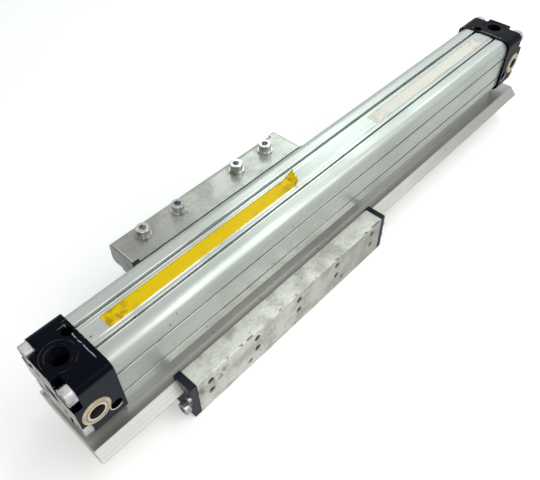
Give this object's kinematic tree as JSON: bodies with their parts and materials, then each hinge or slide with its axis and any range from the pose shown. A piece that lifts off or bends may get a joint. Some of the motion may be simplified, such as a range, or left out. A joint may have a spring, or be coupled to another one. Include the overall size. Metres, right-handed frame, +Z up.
{
  "type": "rodless pneumatic cylinder",
  "caption": "Rodless pneumatic cylinder with a slotted square barrel, black end caps and a carriage that slides on V-edged guide rails.",
  "frame": {"origin": "centre of the carriage's load face, which is the face the object stands on, at the carriage's rest place", "axes": "+X along the cylinder towards the far cap, +Y towards the side bracket, +Z up from the load face to the barrel"},
  "size_m": [0.535, 0.1049, 0.0957],
  "materials": {
    "anodised_profile": "satin",
    "black_cap": "semi-gloss",
    "zinc_screw": "satin",
    "band_steel": "satin",
    "dark_steel": "satin",
    "rail_aluminium": "satin",
    "milled_aluminium": "satin",
    "black_plastic": "matt",
    "slide_plastic": "matt",
    "bush_plastic": "matt",
    "seal_rubber": "matt",
    "felt": "matt",
    "magnet": "matt"
  },
  "bodies": {
    "cylinder": {"barrel": "anodised_profile", "inner_sealing_band": "band_steel", "outer_sealing_band": "band_steel", "left_guide_rail": "rail_aluminium", "right_guide_rail": "rail_aluminium", "near_rail_bridge": "rail_aluminium", "far_rail_bridge": "rail_aluminium", "rail_lock_screws": "dark_steel", "near_end_cap": "black_cap", "near_cap_screws": "zinc_screw", "near_cap_seal": "seal_rubber", "near_cushion_tube": "milled_aluminium", "near_port_bush": "bush_plastic", "near_port_plugs": "dark_steel", "near_band_clamp": "band_steel", "near_band_clamp_screws": "zinc_screw", "far_end_cap": "black_cap", "far_cap_screws": "zinc_screw", "far_cap_seal": "seal_rubber", "far_cushion_tube": "milled_aluminium", "far_port_bush": "bush_plastic", "far_port_plugs": "dark_steel", "far_band_clamp": "band_steel", "far_band_clamp_screws": "zinc_screw"},
    "carriage": {"piston_yoke": "milled_aluminium", "piston_magnet": "magnet", "driver_block": "milled_aluminium", "driver_screws": "zinc_screw", "carriage_body": "milled_aluminium", "left_slide_element": "slide_plastic", "right_slide_element": "slide_plastic", "pressure_bar": "band_steel", "adjusting_screws": "dark_steel", "riser_bracket": "milled_aluminium", "riser_screws": "zinc_screw", "spacer_plate": "milled_aluminium", "top_plate": "milled_aluminium", "top_plate_screws": "zinc_screw", "top_plate_washers": "zinc_screw", "guard_strip": "black_plastic", "near_piston_head": "milled_aluminium", "near_piston_seal": "seal_rubber", "near_wear_ring": "slide_plastic", "near_cushion_seal": "seal_rubber", "near_piston_head_screw": "zinc_screw", "near_band_shoe": "slide_plastic", "near_wiper_plate": "black_plastic", "near_felt_wipers": "felt", "near_wiper_screws": "zinc_screw", "far_piston_head": "milled_aluminium", "far_piston_seal": "seal_rubber", "far_wear_ring": "slide_plastic", "far_cushion_seal": "seal_rubber", "far_piston_head_screw": "zinc_screw", "far_band_shoe": "slide_plastic", "far_wiper_plate": "black_plastic", "far_felt_wipers": "felt", "far_wiper_screws": "zinc_screw"},
    "near_cushion_screw": {"near_cushion_screw": "zinc_screw"},
    "far_cushion_screw": {"far_cushion_screw": "zinc_screw"}
  },
  "joints": [
    {"name": "carriage_slide", "type": "slide", "parent": "cylinder", "child": "carriage", "axis": [1, 0, 0], "range_m": [-0.05, 0.231], "deforming": ["inner_sealing_band", "outer_sealing_band"]},
    {"name": "near_cushion_screw_turn", "type": "hinge", "parent": "cylinder", "child": "near_cushion_screw", "pos_m": [-0.1499, -0.0213, 0.0577], "axis": [0, -1, 0], "range_deg": [-360, 1080]},
    {"name": "far_cushion_screw_turn", "type": "hinge", "parent": "cylinder", "child": "far_cushion_screw", "pos_m": [0.3309, -0.0213, 0.0577], "axis": [0, -1, 0], "range_deg": [-360, 1080]}
  ]
}
